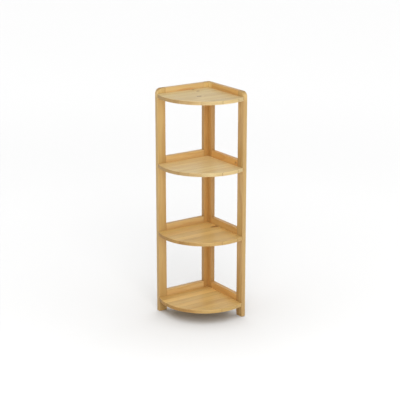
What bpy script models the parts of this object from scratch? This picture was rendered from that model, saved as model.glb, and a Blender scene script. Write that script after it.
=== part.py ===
"""Corner shelf in solid pine: two ladder frames that meet in the back corner, and four shelves with a bowed front.

Metres, +Z up. The origin is on the floor, under the middle of the whole shelf. The side frame stands along the low X
side, and the rear frame along the high Y side. Each frame is worked out along its own run, from the back corner to its
front edge. Sizes are the real ones, and neighbours keep a hairline gap.
"""

import math

import bmesh
import bpy
from mathutils import Matrix, Vector

MM = 0.001

# The whole shelf
FRAME_DEPTH = 320 * MM  # from the back corner to the front edge of a frame
FRAME_HEIGHT = 1150 * MM
SHELF_COUNT = 4
BOTTOM_SHELF_TOP = 75 * MM  # height of the lowest shelf's upper face
TOP_SHELF_DROP = 25 * MM  # from the frame's top down to the highest shelf's upper face

# Boards
BOARD_THICKNESS = 22 * MM
FRONT_STILE_WIDTH = 46 * MM
SIDE_CORNER_STILE_WIDTH = 46 * MM
REAR_CORNER_STILE_WIDTH = 30 * MM  # it starts at the side frame's inner face
STILE_TOP_RADIUS = 26 * MM
RAIL_HEIGHT = 50 * MM
RAIL_RISE = 32 * MM  # a rail's upper edge above its shelf, on all levels but the highest
SHELF_THICKNESS = 18 * MM
SHELF_OVERHANG = 15 * MM  # the bowed front's furthest reach past the stile fronts
BOARD_EASING = 2 * MM
SHELF_EASING = 2.5 * MM

# Hairline gaps
BUTT_GAP = 0.3 * MM
DOWEL_CLEARANCE = 0.2 * MM
SCREW_CLEARANCE = 0.25 * MM

# Dowels, two in each rail end
DOWEL_DIAMETER = 8 * MM
DOWEL_LENGTH = 40 * MM
DOWEL_CHAMFER = 1 * MM
DOWEL_SPACING = 24 * MM

# Screws, through a rail from its wall side into a shelf's edge
SCREW_LENGTH = 50 * MM
SCREW_HEAD_DIAMETER = 9.6 * MM
SCREW_HEAD_RIM = 0.8 * MM
SCREW_CONE_DEPTH = 3.4 * MM
SCREW_SHOULDER_DIAMETER = 5.8 * MM
SCREW_SHOULDER_END = 20 * MM  # from the head's face
SCREW_CORE_DIAMETER = 4.8 * MM
SCREW_TIP_DIAMETER = 2.4 * MM
SCREW_TIP_LENGTH = 3 * MM
SCREW_SINK = 0.4 * MM  # the head's face below the rail's wall side
SCREW_END_DISTANCE = 48 * MM  # from a rail's end, where a rail has two screws
SOCKET_ACROSS_CORNERS = 4.6 * MM
SOCKET_DEPTH = 2.6 * MM

# Roundness
FULL_TURN = 2 * math.pi
QUARTER_TURN = math.pi / 2
ROUND_STEPS = 12
STILE_CORNER_STEPS = 8
SHELF_QUARTER_STEPS = 30
SHELF_RETURN_STEPS = 7
HEX = 6
MERGE = 0.00001
CUTTER_REACH = 2 * MM  # how far a cutter runs out past the face that it opens

# Worked out from the sizes above
OVERALL = FRAME_DEPTH + SHELF_OVERHANG
CORNER = Vector((-OVERALL / 2, OVERALL / 2, 0))
INNER_FACE = BOARD_THICKNESS + BUTT_GAP
SHELF_PITCH = (FRAME_HEIGHT - TOP_SHELF_DROP - BOTTOM_SHELF_TOP) / (SHELF_COUNT - 1)
SHELF_TOPS = [BOTTOM_SHELF_TOP + level * SHELF_PITCH for level in range(SHELF_COUNT)]

# Colour, roughness and metallic value of each material
FINISHES = {
    "stile_pine": ((0.62, 0.37, 0.15), 0.38, 0.0),
    "rail_pine": ((0.66, 0.40, 0.16), 0.38, 0.0),
    "shelf_pine": ((0.64, 0.44, 0.22), 0.35, 0.0),
    "dowel_beech": ((0.62, 0.44, 0.28), 0.7, 0.0),
    "screw_zinc": ((0.62, 0.62, 0.60), 0.35, 1.0),
}


def clear_scene():
    """Removes what the scene holds."""
    for old in list(bpy.data.objects):
        bpy.data.objects.remove(old)


def new_collection(name, hidden=False):
    """A collection in the scene. A hidden one is left out of renders."""
    collection = bpy.data.collections.new(name)
    collection.hide_render = hidden
    bpy.context.scene.collection.children.link(collection)
    return collection


def finish(name):
    """The named material, made on first use."""
    material = bpy.data.materials.get(name)
    if material is None:
        colour, roughness, metallic = FINISHES[name]
        material = bpy.data.materials.new(name)
        material.use_nodes = True
        shader = material.node_tree.nodes["Principled BSDF"]
        shader.inputs["Base Color"].default_value = (*colour, 1)
        shader.inputs["Roughness"].default_value = roughness
        shader.inputs["Metallic"].default_value = metallic
        material.diffuse_color = (*colour, 1)
    return material


def add_piece(name, mesh, material, parent, place, turn=(0, 0, 0)):
    """An object for one piece, placed under its parent."""
    piece = bpy.data.objects.new(name, mesh)
    if not mesh.materials:
        mesh.materials.append(finish(material))
    piece.parent = parent
    piece.location = place
    piece.rotation_euler = turn
    PARTS.objects.link(piece)
    return piece


def add_empty(name, place, turn=(0, 0, 0), parent=None):
    """A sub-assembly's handle."""
    empty = bpy.data.objects.new(name, None)
    empty.empty_display_size = 0.05
    empty.location = place
    empty.rotation_euler = turn
    empty.parent = parent
    PARTS.objects.link(empty)
    return empty


def arc(centre, radius, start, end, steps):
    """Points on an arc, both ends included."""
    return [
        (
            centre[0] + radius * math.cos(start + (end - start) * step / steps),
            centre[1] + radius * math.sin(start + (end - start) * step / steps),
        )
        for step in range(steps + 1)
    ]


def flat_board(name, outline, thickness):
    """A mesh of the given flat outline, thickness centred on its plane, from a filled 2D curve."""
    curve = bpy.data.curves.new(name, "CURVE")
    curve.dimensions = "2D"
    curve.fill_mode = "BOTH"
    curve.extrude = thickness / 2
    spline = curve.splines.new("POLY")
    spline.points.add(len(outline) - 1)
    for point, (x, y) in zip(spline.points, outline):
        point.co = (x, y, 0, 1)
    spline.use_cyclic_u = True
    holder = bpy.data.objects.new(name + "_outline", curve)
    bpy.context.scene.collection.objects.link(holder)
    graph = bpy.context.evaluated_depsgraph_get()
    mesh = bpy.data.meshes.new_from_object(holder.evaluated_get(graph))
    bpy.data.objects.remove(holder)
    bpy.data.curves.remove(curve)
    mesh.name = name
    work = bmesh.new()
    work.from_mesh(mesh)
    bmesh.ops.remove_doubles(work, verts=work.verts, dist=MERGE)
    bmesh.ops.dissolve_limit(work, angle_limit=math.radians(1), verts=work.verts, edges=work.edges)
    bmesh.ops.recalc_face_normals(work, faces=work.faces)
    work.to_mesh(mesh)
    work.free()
    mesh.materials.clear()
    return mesh


def box_board(name, length, depth, height):
    """A mesh of a plain board, centred on its origin."""
    work = bmesh.new()
    bmesh.ops.create_cube(work, size=1)
    bmesh.ops.scale(work, vec=(length, depth, height), verts=work.verts)
    mesh = bpy.data.meshes.new(name)
    work.to_mesh(mesh)
    work.free()
    return mesh


def ease_edges(piece, width):
    """Rounds every long edge of a board a little."""
    bevel = piece.modifiers.new("eased_edges", "BEVEL")
    bevel.width = width
    bevel.segments = 2
    bevel.limit_method = "ANGLE"
    bevel.angle_limit = math.radians(40)


def cut(piece, cutter_mesh, name):
    """Takes a cutter, given in the piece's own frame, out of the piece."""
    cutter = bpy.data.objects.new(f"{piece.name}_{name}", cutter_mesh)
    cutter.parent = piece
    cutter.hide_render = True
    cutter.display_type = "WIRE"
    CUTTERS.objects.link(cutter)
    boolean = piece.modifiers.new(name, "BOOLEAN")
    boolean.operation = "DIFFERENCE"
    boolean.solver = "EXACT"
    boolean.object = cutter


def cones(name, places, mouth_radius, end_radius, mouth, end):
    """One mesh of tapered or straight bores. Each place is (point, direction), and mouth and end are distances along it."""
    work = bmesh.new()
    for point, direction in places:
        middle = Vector(point) + Vector(direction) * (mouth + end) / 2
        turn = Vector(direction).to_track_quat("Z", "Y").to_matrix().to_4x4()
        bmesh.ops.create_cone(
            work,
            cap_ends=True,
            segments=ROUND_STEPS,
            radius1=mouth_radius,
            radius2=end_radius,
            depth=end - mouth,
            matrix=Matrix.Translation(middle) @ turn,
        )
    mesh = bpy.data.meshes.new(name)
    work.to_mesh(mesh)
    work.free()
    return mesh


def turned(name, profile):
    """A mesh of a profile of (radius, height) points, for a turned piece about Z."""
    work = bmesh.new()
    corners = [work.verts.new((radius, 0, height)) for radius, height in profile]
    for first, second in zip(corners, corners[1:]):
        work.edges.new((first, second))
    mesh = bpy.data.meshes.new(name)
    work.to_mesh(mesh)
    work.free()
    return mesh


def turn_about_axis(piece):
    """Spins the piece's profile into a closed solid."""
    screw = piece.modifiers.new("turned", "SCREW")
    screw.axis = "Z"
    screw.angle = FULL_TURN
    screw.steps = ROUND_STEPS
    screw.render_steps = ROUND_STEPS
    screw.use_merge_vertices = True
    screw.merge_threshold = MERGE
    screw.use_smooth_shade = True


def dowel_profile():
    """Half section of a dowel, from its upper end down its outer side."""
    radius = DOWEL_DIAMETER / 2
    half = DOWEL_LENGTH / 2
    return [
        (0, half),
        (radius - DOWEL_CHAMFER, half),
        (radius, half - DOWEL_CHAMFER),
        (radius, DOWEL_CHAMFER - half),
        (radius - DOWEL_CHAMFER, -half),
        (0, -half),
    ]


def screw_profile():
    """Half section of a screw, from its tip, which points up, down its outer side to the head's face at height 0."""
    cone_end = SCREW_HEAD_RIM + SCREW_CONE_DEPTH
    tip_start = SCREW_LENGTH - SCREW_TIP_LENGTH
    return [
        (0, SCREW_LENGTH),
        (SCREW_TIP_DIAMETER / 2, SCREW_LENGTH),
        (SCREW_CORE_DIAMETER / 2, tip_start),
        (SCREW_CORE_DIAMETER / 2, SCREW_SHOULDER_END),
        (SCREW_SHOULDER_DIAMETER / 2, SCREW_SHOULDER_END),
        (SCREW_SHOULDER_DIAMETER / 2, cone_end),
        (SCREW_HEAD_DIAMETER / 2, SCREW_HEAD_RIM),
        (SCREW_HEAD_DIAMETER / 2, 0),
        (0, 0),
    ]


def socket_mesh():
    """The six-sided recess in a screw's head."""
    work = bmesh.new()
    bmesh.ops.create_cone(
        work,
        cap_ends=True,
        segments=HEX,
        radius1=SOCKET_ACROSS_CORNERS / 2,
        radius2=SOCKET_ACROSS_CORNERS / 2,
        depth=SOCKET_DEPTH + CUTTER_REACH,
        matrix=Matrix.Translation((0, 0, (SOCKET_DEPTH - CUTTER_REACH) / 2)),
    )
    mesh = bpy.data.meshes.new("socket")
    work.to_mesh(mesh)
    work.free()
    return mesh


def rail_low_edge(level):
    """Height of a rail's lower edge. The highest rail is flush with the top of the stiles."""
    if level == SHELF_COUNT - 1:
        return FRAME_HEIGHT - RAIL_HEIGHT
    return SHELF_TOPS[level] + RAIL_RISE - RAIL_HEIGHT


def rail_middle(level):
    """Height of a rail's middle line."""
    return rail_low_edge(level) + RAIL_HEIGHT / 2


def dowel_heights(level):
    """Names and heights of the two dowels in a rail's end."""
    return {
        "lower": rail_middle(level) - DOWEL_SPACING / 2,
        "upper": rail_middle(level) + DOWEL_SPACING / 2,
    }


def stile_outline(width, rounded):
    """A stile seen square to its frame, its outer front corner rounded at the top where asked."""
    outline = [(0, 0), (width, 0)]
    if rounded:
        centre = (width - STILE_TOP_RADIUS, FRAME_HEIGHT - STILE_TOP_RADIUS)
        outline += arc(centre, STILE_TOP_RADIUS, 0, QUARTER_TURN, STILE_CORNER_STEPS)
    else:
        outline.append((width, FRAME_HEIGHT))
    outline.append((0, FRAME_HEIGHT))
    return outline


def add_stile(name, frame, mid_depth, run_start, width, rounded, dowel_face):
    """A stile of a frame. dowel_face is the run of the edge that the rails butt against."""
    mesh = flat_board(name, stile_outline(width, rounded), BOARD_THICKNESS)
    mesh.transform(Matrix.Rotation(QUARTER_TURN, 4, "X"))
    stile = add_piece(name, mesh, "stile_pine", frame, (run_start, mid_depth, 0))
    ease_edges(stile, BOARD_EASING)
    inward = -1 if dowel_face > run_start else 1
    heights = [height for level in range(SHELF_COUNT) for height in dowel_heights(level).values()]
    places = [((dowel_face - run_start, 0, height), (inward, 0, 0)) for height in heights]
    radius = DOWEL_DIAMETER / 2 + DOWEL_CLEARANCE
    depth = DOWEL_LENGTH / 2 + DOWEL_CLEARANCE
    cut(stile, cones(name + "_bores", places, radius, radius, -CUTTER_REACH, depth), "dowel_bores")
    return stile


def add_rail(name, frame, mid_depth, level, run_start, run_end, outside, screw_runs):
    """A rail of a frame, bored for its dowels and for the screws that hold its shelf."""
    length = run_end - run_start
    middle = Vector(((run_start + run_end) / 2, mid_depth, rail_middle(level)))
    mesh = box_board(name, length, BOARD_THICKNESS, RAIL_HEIGHT)
    rail = add_piece(name, mesh, "rail_pine", frame, middle)
    ease_edges(rail, BOARD_EASING)
    places = []
    for height in dowel_heights(level).values():
        places.append(((-length / 2, 0, height - middle.z), (1, 0, 0)))
        places.append(((length / 2, 0, height - middle.z), (-1, 0, 0)))
    radius = DOWEL_DIAMETER / 2 + DOWEL_CLEARANCE
    depth = DOWEL_LENGTH / 2 + DOWEL_CLEARANCE
    cut(rail, cones(name + "_bores", places, radius, radius, -CUTTER_REACH, depth), "dowel_bores")
    screw_height = SHELF_TOPS[level] - SHELF_THICKNESS / 2 - middle.z
    places = [
        ((run - middle.x, outside * BOARD_THICKNESS / 2, screw_height), (0, -outside, 0))
        for run in screw_runs
    ]
    radius = SCREW_SHOULDER_DIAMETER / 2 + SCREW_CLEARANCE
    through = BOARD_THICKNESS + CUTTER_REACH
    cut(rail, cones(name + "_screw_bores", places, radius, radius, -CUTTER_REACH, through), "screw_bores")
    rim = SCREW_SINK + SCREW_HEAD_RIM
    slope = (SCREW_HEAD_DIAMETER - SCREW_SHOULDER_DIAMETER) / 2 / SCREW_CONE_DEPTH
    mouth_radius = SCREW_HEAD_DIAMETER / 2 + SCREW_CLEARANCE + slope * (rim + CUTTER_REACH)
    # The cone runs on inside the shoulder's bore, so that the two cut each other cleanly
    end_radius = SCREW_SHOULDER_DIAMETER / 2 + SCREW_CLEARANCE - slope * CUTTER_REACH
    end = rim + SCREW_CONE_DEPTH + CUTTER_REACH
    cut(rail, cones(name + "_sinks", places, mouth_radius, end_radius, -CUTTER_REACH, end), "countersinks")
    return rail


def add_frame(label, frame, inward, run_offset, corner_width, screw_runs):
    """A ladder frame: two stiles, a rail for each shelf and their dowels. inward is the side of the shelves."""
    mid_depth = inward * BOARD_THICKNESS / 2
    corner_end = run_offset + corner_width
    front_start = FRAME_DEPTH - FRONT_STILE_WIDTH
    add_stile(f"{label}_corner_stile", frame, mid_depth, run_offset, corner_width, False, corner_end)
    add_stile(f"{label}_front_stile", frame, mid_depth, front_start, FRONT_STILE_WIDTH, True, front_start)
    rail_start = corner_end + BUTT_GAP
    rail_end = front_start - BUTT_GAP
    for level in range(SHELF_COUNT):
        name = f"{label}_rail_{level + 1}"
        add_rail(name, frame, mid_depth, level, rail_start, rail_end, -inward, screw_runs)
        for height_name, height in dowel_heights(level).items():
            for end_name, joint in (("corner", corner_end + BUTT_GAP / 2), ("front", front_start - BUTT_GAP / 2)):
                dowel_name = f"{label}_{level + 1}_{end_name}_dowel_{height_name}"
                add_dowel(dowel_name, frame, (joint, mid_depth, height))


def add_dowel(name, frame, place):
    """A dowel across a rail's joint, lying along the frame's run."""
    mesh = bpy.data.meshes.get("dowel") or turned("dowel", dowel_profile())
    dowel = add_piece(name, mesh, "dowel_beech", frame, place, (0, QUARTER_TURN, 0))
    turn_about_axis(dowel)
    return dowel


def add_screw(name, frame, inward, run, height):
    """A screw whose head lies just below the wall side of its frame and whose tip points at the shelf."""
    mesh = bpy.data.meshes.get("screw") or turned("screw", screw_profile())
    turn = (-inward * QUARTER_TURN, 0, 0)
    screw = add_piece(name, mesh, "screw_zinc", frame, (run, inward * SCREW_SINK, height), turn)
    turn_about_axis(screw)
    cut(screw, socket_mesh(), "socket")
    return screw


def shelf_outline():
    """A shelf seen from above, with the outer corner of the frames at (0, 0). The bowed front is one arc.

    The arc runs through the two front corners and reaches furthest, by the overhang, in the two directions of the
    frames. That gives its centre, which lies on the diagonal, and its radius.
    """
    reach = SHELF_OVERHANG
    spread = math.sqrt(2 * reach * (reach + FRAME_DEPTH - INNER_FACE))
    middle = INNER_FACE - reach + spread
    radius = FRAME_DEPTH + reach - middle
    back_angle = math.atan2(INNER_FACE - middle, FRAME_DEPTH - middle)
    centre = (middle, middle)
    side_return = arc(centre, radius, back_angle, 0, SHELF_RETURN_STEPS)
    front = arc(centre, radius, 0, QUARTER_TURN, SHELF_QUARTER_STEPS)
    rear_return = arc(centre, radius, QUARTER_TURN, QUARTER_TURN - back_angle, SHELF_RETURN_STEPS)
    # The depth is measured towards low Y, so the outline is mirrored in X
    corner = [(INNER_FACE, INNER_FACE)]
    return [(x, -y) for x, y in corner + side_return[:-1] + front[:-1] + rear_return]


def add_shelf(level, parent, side_runs, rear_runs):
    """A shelf panel against both frames, bored in its straight edges for its screws."""
    name = f"shelf_{level + 1}"
    mesh = flat_board(name, shelf_outline(), SHELF_THICKNESS)
    place = CORNER + Vector((0, 0, SHELF_TOPS[level] - SHELF_THICKNESS / 2))
    shelf = add_piece(name, mesh, "shelf_pine", parent, place)
    ease_edges(shelf, SHELF_EASING)
    places = [((INNER_FACE, -run, 0), (1, 0, 0)) for run in side_runs]
    places += [((run, -INNER_FACE, 0), (0, -1, 0)) for run in rear_runs]
    radius = SCREW_CORE_DIAMETER / 2 + SCREW_CLEARANCE
    depth = SCREW_SINK + SCREW_LENGTH - INNER_FACE + SCREW_CLEARANCE
    cut(shelf, cones(name + "_bores", places, radius, radius, -CUTTER_REACH, depth), "pilot_bores")
    return shelf


def build():
    """Builds the two frames, the shelves and the screws."""
    root = add_empty("corner_shelf", (0, 0, 0))
    side_frame = add_empty("side_frame", CORNER, (0, 0, -QUARTER_TURN), root)
    rear_frame = add_empty("rear_frame", CORNER, (0, 0, 0), root)
    front_start = FRAME_DEPTH - FRONT_STILE_WIDTH
    side_runs = [(SIDE_CORNER_STILE_WIDTH + front_start) / 2]
    rear_corner_end = INNER_FACE + REAR_CORNER_STILE_WIDTH
    rear_runs = [rear_corner_end + SCREW_END_DISTANCE, front_start - SCREW_END_DISTANCE]
    add_frame("side", side_frame, 1, 0, SIDE_CORNER_STILE_WIDTH, side_runs)
    add_frame("rear", rear_frame, -1, INNER_FACE, REAR_CORNER_STILE_WIDTH, rear_runs)
    for level in range(SHELF_COUNT):
        add_shelf(level, root, side_runs, rear_runs)
        height = SHELF_TOPS[level] - SHELF_THICKNESS / 2
        add_screw(f"screw_{level + 1}_side", side_frame, 1, side_runs[0], height)
        for place_name, run in zip(("corner", "front"), rear_runs):
            add_screw(f"screw_{level + 1}_rear_{place_name}", rear_frame, -1, run, height)


clear_scene()
PARTS = new_collection("corner_shelf_parts")
CUTTERS = new_collection("cutters", hidden=True)
build()
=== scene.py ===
"""The dressed corner shelf: solid pine with growth rings, knots and end grain under a clear satin lacquer.

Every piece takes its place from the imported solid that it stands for, in metres with +Z up. The side frame
stands along the low X side and the rear frame along the high Y side, and they meet in the back corner.
"""

import logging
import math
from collections.abc import Callable
from dataclasses import dataclass, replace
from enum import Enum

import bmesh
import bpy
from bpy.types import Material, Mesh, Node, NodeSocket, NodeTree, Object
from mathutils import Matrix, Vector


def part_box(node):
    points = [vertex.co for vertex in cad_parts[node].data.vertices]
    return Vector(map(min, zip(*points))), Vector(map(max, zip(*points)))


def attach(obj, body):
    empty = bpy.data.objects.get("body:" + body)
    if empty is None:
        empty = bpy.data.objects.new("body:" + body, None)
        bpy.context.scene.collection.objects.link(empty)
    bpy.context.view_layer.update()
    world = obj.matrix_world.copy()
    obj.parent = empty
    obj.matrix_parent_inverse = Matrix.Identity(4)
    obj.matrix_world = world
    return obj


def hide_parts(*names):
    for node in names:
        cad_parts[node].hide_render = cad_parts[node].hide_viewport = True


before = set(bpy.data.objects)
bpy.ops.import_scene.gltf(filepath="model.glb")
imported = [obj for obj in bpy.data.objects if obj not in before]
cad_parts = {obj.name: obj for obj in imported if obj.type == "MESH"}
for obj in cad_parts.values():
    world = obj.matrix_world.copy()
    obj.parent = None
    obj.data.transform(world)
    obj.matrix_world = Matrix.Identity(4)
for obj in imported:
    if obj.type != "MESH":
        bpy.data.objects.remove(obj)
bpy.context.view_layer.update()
LOG = logging.getLogger("corner_shelf")

Colour = tuple[float, float, float, float]
Place = tuple[float, float, float]
Mark = tuple[Vector, Vector]
Section = list[tuple[float, float]]
Row = tuple[float, float, str]
WHITE = (1.0, 1.0, 1.0, 1.0)
FULL_TURN = 2 * math.pi
QUARTER_TURN = math.pi / 2
MERGE = 0.000005
SHARP_ANGLE = math.radians(40)
SHELF_COUNT = 4


class Grain(Enum):
    """The direction that the fibres of a board run in."""

    UPRIGHT = (0.0, 0.0, 1.0)
    ALONG_SIDE = (0.0, 1.0, 0.0)
    ALONG_REAR = (1.0, 0.0, 0.0)


class Side(Enum):
    """The two frames of the shelf."""

    SIDE = "side"
    REAR = "rear"


SCREW_ENDS = {Side.SIDE: ("side",), Side.REAR: ("rear_corner", "rear_front")}
DOWEL_PLACES = ("corner_dowel_lower", "corner_dowel_upper", "front_dowel_lower", "front_dowel_upper")


def paint(red: int, green: int, blue: int) -> Colour:
    """A colour as the shaders need it.

    Args:
        red: Red as it shows on a screen, 0 to 255.
        green: Green as it shows on a screen, 0 to 255.
        blue: Blue as it shows on a screen, 0 to 255.

    Returns:
        The linear colour, with full alpha.
    """
    parts = [value / 255 for value in (red, green, blue)]
    linear = [part / 12.92 if part <= 0.04045 else ((part + 0.055) / 1.055) ** 2.4 for part in parts]
    return (*linear, 1.0)


def sum_method(operation: str, swapped: bool = False) -> Callable:
    """An operator that adds one node to a value's graph.

    Args:
        operation: The node's operation.
        swapped: Whether the value stands on the right.

    Returns:
        The method.
    """

    def apply(self: "Value", other: object) -> "Value":
        """Adds the node."""
        return self.node(operation, *((other, self) if swapped else (self, other)))

    return apply


@dataclass(frozen=True)
class Value:
    """Something that a node gives out."""

    graph: "Graph"
    socket: NodeSocket


class Number(Value):
    """A number in a node graph. Plain sums on it add nodes."""

    __add__, __radd__ = sum_method("ADD"), sum_method("ADD", True)
    __sub__, __rsub__ = sum_method("SUBTRACT"), sum_method("SUBTRACT", True)
    __mul__ = sum_method("MULTIPLY")
    __truediv__, __rtruediv__ = sum_method("DIVIDE"), sum_method("DIVIDE", True)

    def node(self, operation: str, *values: object) -> "Number":
        """A sum on numbers."""
        return self.graph.math(operation, *values)

    def __abs__(self) -> "Number":
        """The number without its sign."""
        return self.graph.math("ABSOLUTE", self)


class Arrow(Value):
    """A vector or colour in a node graph. Plain sums on it add nodes, and * scales it."""

    __add__, __sub__ = sum_method("ADD"), sum_method("SUBTRACT")

    def node(self, operation: str, *values: object) -> "Arrow":
        """A sum on vectors."""
        return self.graph.vector(operation, *values)

    def __mul__(self, factor: "Number | float") -> "Arrow":
        """The vector, scaled."""
        return self.graph.scaled(self, factor)

    def dot(self, other: "Arrow | Place") -> Number:
        """How far the vector runs along another."""
        return self.graph.vector("DOT_PRODUCT", self, other, output=1)

    def length(self) -> Number:
        """The vector's length."""
        return self.graph.vector("LENGTH", self, output=1)


class Graph:
    """Short calls for building a node tree. Square brackets read a group's inputs and set its outputs."""

    SOCKETS = {
        float: "NodeSocketFloat",
        int: "NodeSocketInt",
        3: "NodeSocketVector",
        4: "NodeSocketColor",
        "float": "NodeSocketFloat",
        "vector": "NodeSocketVector",
        "colour": "NodeSocketColor",
        "geometry": "NodeSocketGeometry",
        "object": "NodeSocketObject",
        "material": "NodeSocketMaterial",
    }
    KINDS = {"VECTOR": Arrow, "RGBA": Arrow, "VALUE": Number, "INT": Number}

    def __init__(self, tree: NodeTree) -> None:
        """Starts with no group sockets.

        Args:
            tree: The tree that the nodes go into.
        """
        self.tree = tree
        self.inlet: Node | None = None
        self.outlet: Node | None = None

    @classmethod
    def group(cls, name: str, kind: str, inputs: dict, outputs: dict[str, str]) -> "Graph":
        """Starts a node group with named sockets.

        Args:
            name: The group's name.
            kind: The tree's type.
            inputs: Socket name to its kind, or to its usual value, which tells the kind.
            outputs: Socket name to its kind.

        Returns:
            The graph of the new group.
        """
        tree = bpy.data.node_groups.new(name, kind)
        for label, given in inputs.items():
            plain = isinstance(given, str)
            word = given if plain else len(given) if isinstance(given, tuple) else type(given)
            socket = tree.interface.new_socket(label, in_out="INPUT", socket_type=cls.SOCKETS[word])
            if not plain:
                socket.default_value = given
        for label, word in outputs.items():
            tree.interface.new_socket(label, in_out="OUTPUT", socket_type=cls.SOCKETS[word])
        graph = cls(tree)
        graph.inlet = tree.nodes.new("NodeGroupInput")
        graph.outlet = tree.nodes.new("NodeGroupOutput")
        return graph

    def __getitem__(self, label: str) -> Value:
        """A named input of the group."""
        return self.wrap(self.inlet.outputs[label])

    def __setitem__(self, label: str, value: Value) -> None:
        """Sends a value to a named output of the group."""
        self.feed(self.outlet.inputs[label], value)

    def wrap(self, socket: NodeSocket) -> Value:
        """A node's output as a value of this graph."""
        return self.KINDS.get(socket.type, Value)(self, socket)

    def feed(self, socket: NodeSocket, value: object) -> None:
        """Links a socket to a value of the graph, or gives it a plain one.

        Args:
            socket: A node's input.
            value: What goes into it.
        """
        if isinstance(value, Value):
            self.tree.links.new(value.socket, socket)
        else:
            socket.default_value = value

    def add(self, kind: str, inputs: dict | None = None, **settings: object) -> Node:
        """Adds a node.

        Args:
            kind: The node's type.
            inputs: Socket name or number to a value.
            **settings: The node's own properties.

        Returns:
            The node.
        """
        node = self.tree.nodes.new(kind)
        for label, setting in settings.items():
            setattr(node, label, setting)
        for key, value in (inputs or {}).items():
            self.feed(node.inputs[key], value)
        return node

    def take(
        self, kind: str, inputs: dict | None = None, output: int | str = 0, **settings: object
    ) -> Value:
        """Adds a node and takes one of its outputs."""
        return self.wrap(self.add(kind, inputs, **settings).outputs[output])

    def math(self, operation: str, *values: object) -> Number:
        """A sum on numbers."""
        return self.take("ShaderNodeMath", dict(enumerate(values)), operation=operation)

    def vector(self, operation: str, *values: object, output: int = 0) -> Value:
        """A sum on vectors. Results that are numbers come from output 1."""
        return self.take("ShaderNodeVectorMath", dict(enumerate(values)), output, operation=operation)

    def scaled(self, vector: Arrow | Place, factor: Number | float) -> Arrow:
        """A vector times a number."""
        return self.take("ShaderNodeVectorMath", {0: vector, "Scale": factor}, operation="SCALE")

    def split(self, vector: Arrow) -> list[Number]:
        """The three parts of a vector."""
        return [self.wrap(part) for part in self.add("ShaderNodeSeparateXYZ", {0: vector}).outputs]

    def join(self, x: Number | float = 0.0, y: Number | float = 0.0, z: Number | float = 0.0) -> Arrow:
        """A vector of three parts."""
        return self.take("ShaderNodeCombineXYZ", {0: x, 1: y, 2: z})

    def ramp(self, value: Number, low: float, high: float, start: float = 0.0, end: float = 1.0) -> Number:
        """A smooth step from start to end, as a value goes from low to high."""
        inputs = {0: value, 1: low, 2: high, 3: start, 4: end}
        return self.take("ShaderNodeMapRange", inputs, interpolation_type="SMOOTHSTEP")

    def noise(self, place: Arrow, scale: float, detail: float = 2.0, rough: float = 0.5) -> Number:
        """Soft noise from 0 to 1."""
        inputs = {"Vector": place, "Scale": scale, "Detail": detail, "Roughness": rough}
        return self.take("ShaderNodeTexNoise", inputs)

    def blend(self, share: Number, one: Arrow | Colour, two: Arrow | Colour, kind: str = "MIX") -> Arrow:
        """A mix of two colours."""
        return self.take("ShaderNodeMix", {0: share, 6: one, 7: two}, 2, data_type="RGBA", blend_type=kind)

    def bump(self, strength: float, distance: float, height: Number) -> Arrow:
        """A normal that follows a height."""
        return self.take("ShaderNodeBump", {"Strength": strength, "Distance": distance, "Height": height})

    def use(self, group: NodeTree, inputs: dict) -> dict[str, Value]:
        """Places a shader group with its own values, and gives its outputs by name."""
        outputs = self.add("ShaderNodeGroup", inputs, node_tree=group).outputs
        return {part.name: self.wrap(part) for part in outputs}

    def named(self, label: str, kind: str) -> Value:
        """A named attribute of the geometry."""
        return self.take("GeometryNodeInputNamedAttribute", {"Name": label}, data_type=kind)

    def send_out(self, geometry: Value, finish: Value | None = None) -> None:
        """Ends a geometry tree with real geometry.

        Args:
            geometry: What it makes.
            finish: Its material, where the tree gives one.
        """
        real = self.take("GeometryNodeRealizeInstances", {0: geometry})
        if finish:
            real = self.take("GeometryNodeSetMaterial", {"Geometry": real, "Material": finish})
        self["Geometry"] = real


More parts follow.
